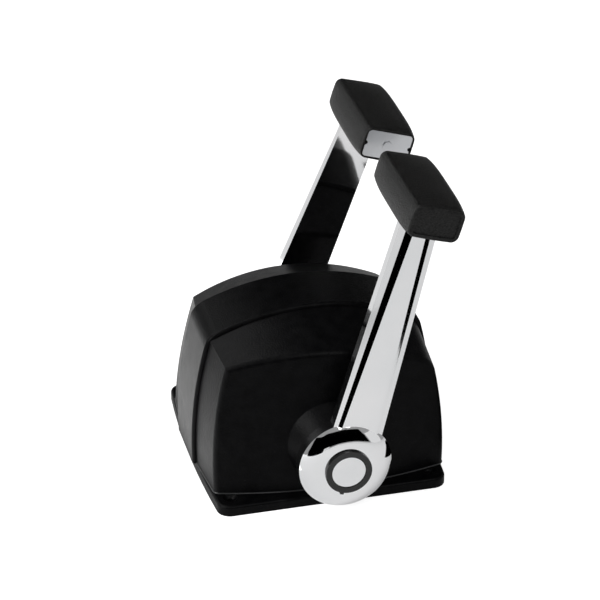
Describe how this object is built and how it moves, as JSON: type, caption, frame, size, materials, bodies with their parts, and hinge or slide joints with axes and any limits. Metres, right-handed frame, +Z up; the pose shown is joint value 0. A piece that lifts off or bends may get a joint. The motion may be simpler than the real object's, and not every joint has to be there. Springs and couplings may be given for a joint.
{
  "type": "boat throttle control lever",
  "caption": "Top-mount boat engine control: chrome levers with inward rubber grips on a domed black housing, with the shafts, gears and cable arms inside.",
  "frame": {"origin": "centre of the flat underside of the mounting flange", "axes": "+Z up off the mounting face, +X ahead (the way both levers lean), +Y to port"},
  "size_m": [0.1865, 0.2316, 0.2481],
  "materials": {
    "housing_plastic": "satin",
    "grip_rubber": "satin",
    "lever_chrome": "polished",
    "satin_metal": "satin",
    "ring_plastic": "gloss",
    "cast_aluminium": "cast",
    "bearing_plastic": "matte",
    "steel": "brushed"
  },
  "bodies": {
    "housing": {"base_flange": "housing_plastic", "center_band": "housing_plastic", "chassis_screws": "steel", "cover_screws": "steel", "mechanism_chassis": "cast_aluminium", "port_cable_rail": "cast_aluminium", "port_cover": "housing_plastic", "port_detent_plunger": "steel", "port_friction_pad": "bearing_plastic", "port_friction_screw": "steel", "port_inner_bush": "bearing_plastic", "port_outer_bush": "bearing_plastic", "port_pivot_pin": "steel", "starboard_cable_rail": "cast_aluminium", "starboard_cover": "housing_plastic", "starboard_detent_plunger": "steel", "starboard_friction_pad": "bearing_plastic", "starboard_friction_screw": "steel", "starboard_inner_bush": "bearing_plastic", "starboard_outer_bush": "bearing_plastic", "starboard_pivot_pin": "steel"},
    "starboard_lever": {"starboard_lever_arm": "lever_chrome", "starboard_grip": "grip_rubber", "starboard_grip_end_plate": "satin_metal", "starboard_grip_screw": "steel", "starboard_hub_ring": "ring_plastic", "starboard_lever_bolt": "steel", "starboard_drive_shaft": "steel", "starboard_drive_gear": "steel", "starboard_shaft_spacer": "bearing_plastic", "starboard_shaft_clip": "steel", "starboard_throttle_arm": "cast_aluminium", "starboard_throttle_cable_pin": "steel", "starboard_button_spring": "steel"},
    "starboard_button": {"starboard_hub_button": "satin_metal"},
    "starboard_shift_drive": {"starboard_shift_sector": "cast_aluminium", "starboard_shift_cable_pin": "steel"},
    "port_lever": {"port_lever_arm": "lever_chrome", "port_grip": "grip_rubber", "port_grip_end_plate": "satin_metal", "port_grip_screw": "steel", "port_hub_ring": "ring_plastic", "port_lever_bolt": "steel", "port_drive_shaft": "steel", "port_drive_gear": "steel", "port_shaft_spacer": "bearing_plastic", "port_shaft_clip": "steel", "port_throttle_arm": "cast_aluminium", "port_throttle_cable_pin": "steel", "port_button_spring": "steel"},
    "port_button": {"port_hub_button": "satin_metal"},
    "port_shift_drive": {"port_shift_sector": "cast_aluminium", "port_shift_cable_pin": "steel"}
  },
  "joints": [
    {"name": "starboard_lever_hinge", "type": "hinge", "parent": "housing", "child": "starboard_lever", "pos_m": [0.004, 0, 0.041], "axis": [0, 1, 0], "range_deg": [-77, 63]},
    {"name": "starboard_shift_hinge", "type": "hinge", "parent": "housing", "child": "starboard_shift_drive", "pos_m": [-0.041, 0, 0.041], "axis": [0, 1, 0], "range_deg": [-31.5, 38.5]},
    {"name": "starboard_button_slide", "type": "slide", "parent": "starboard_lever", "child": "starboard_button", "axis": [0, 1, 0], "range_m": [0, 0.003], "stiffness_N_per_m": 900, "springref_m": -0.002, "deforming": ["starboard_button_spring"]},
    {"name": "port_lever_hinge", "type": "hinge", "parent": "housing", "child": "port_lever", "pos_m": [0.004, 0, 0.041], "axis": [0, 1, 0], "range_deg": [-77, 63]},
    {"name": "port_shift_hinge", "type": "hinge", "parent": "housing", "child": "port_shift_drive", "pos_m": [-0.041, 0, 0.041], "axis": [0, 1, 0], "range_deg": [-31.5, 38.5]},
    {"name": "port_button_slide", "type": "slide", "parent": "port_lever", "child": "port_button", "axis": [0, -1, 0], "range_m": [0, 0.003], "stiffness_N_per_m": 900, "springref_m": -0.002, "deforming": ["port_button_spring"]}
  ],
  "couplings": [
    {"joint": "starboard_shift_hinge", "follows": "starboard_lever_hinge", "ratio": -0.5},
    {"joint": "port_shift_hinge", "follows": "port_lever_hinge", "ratio": -0.5}
  ]
}
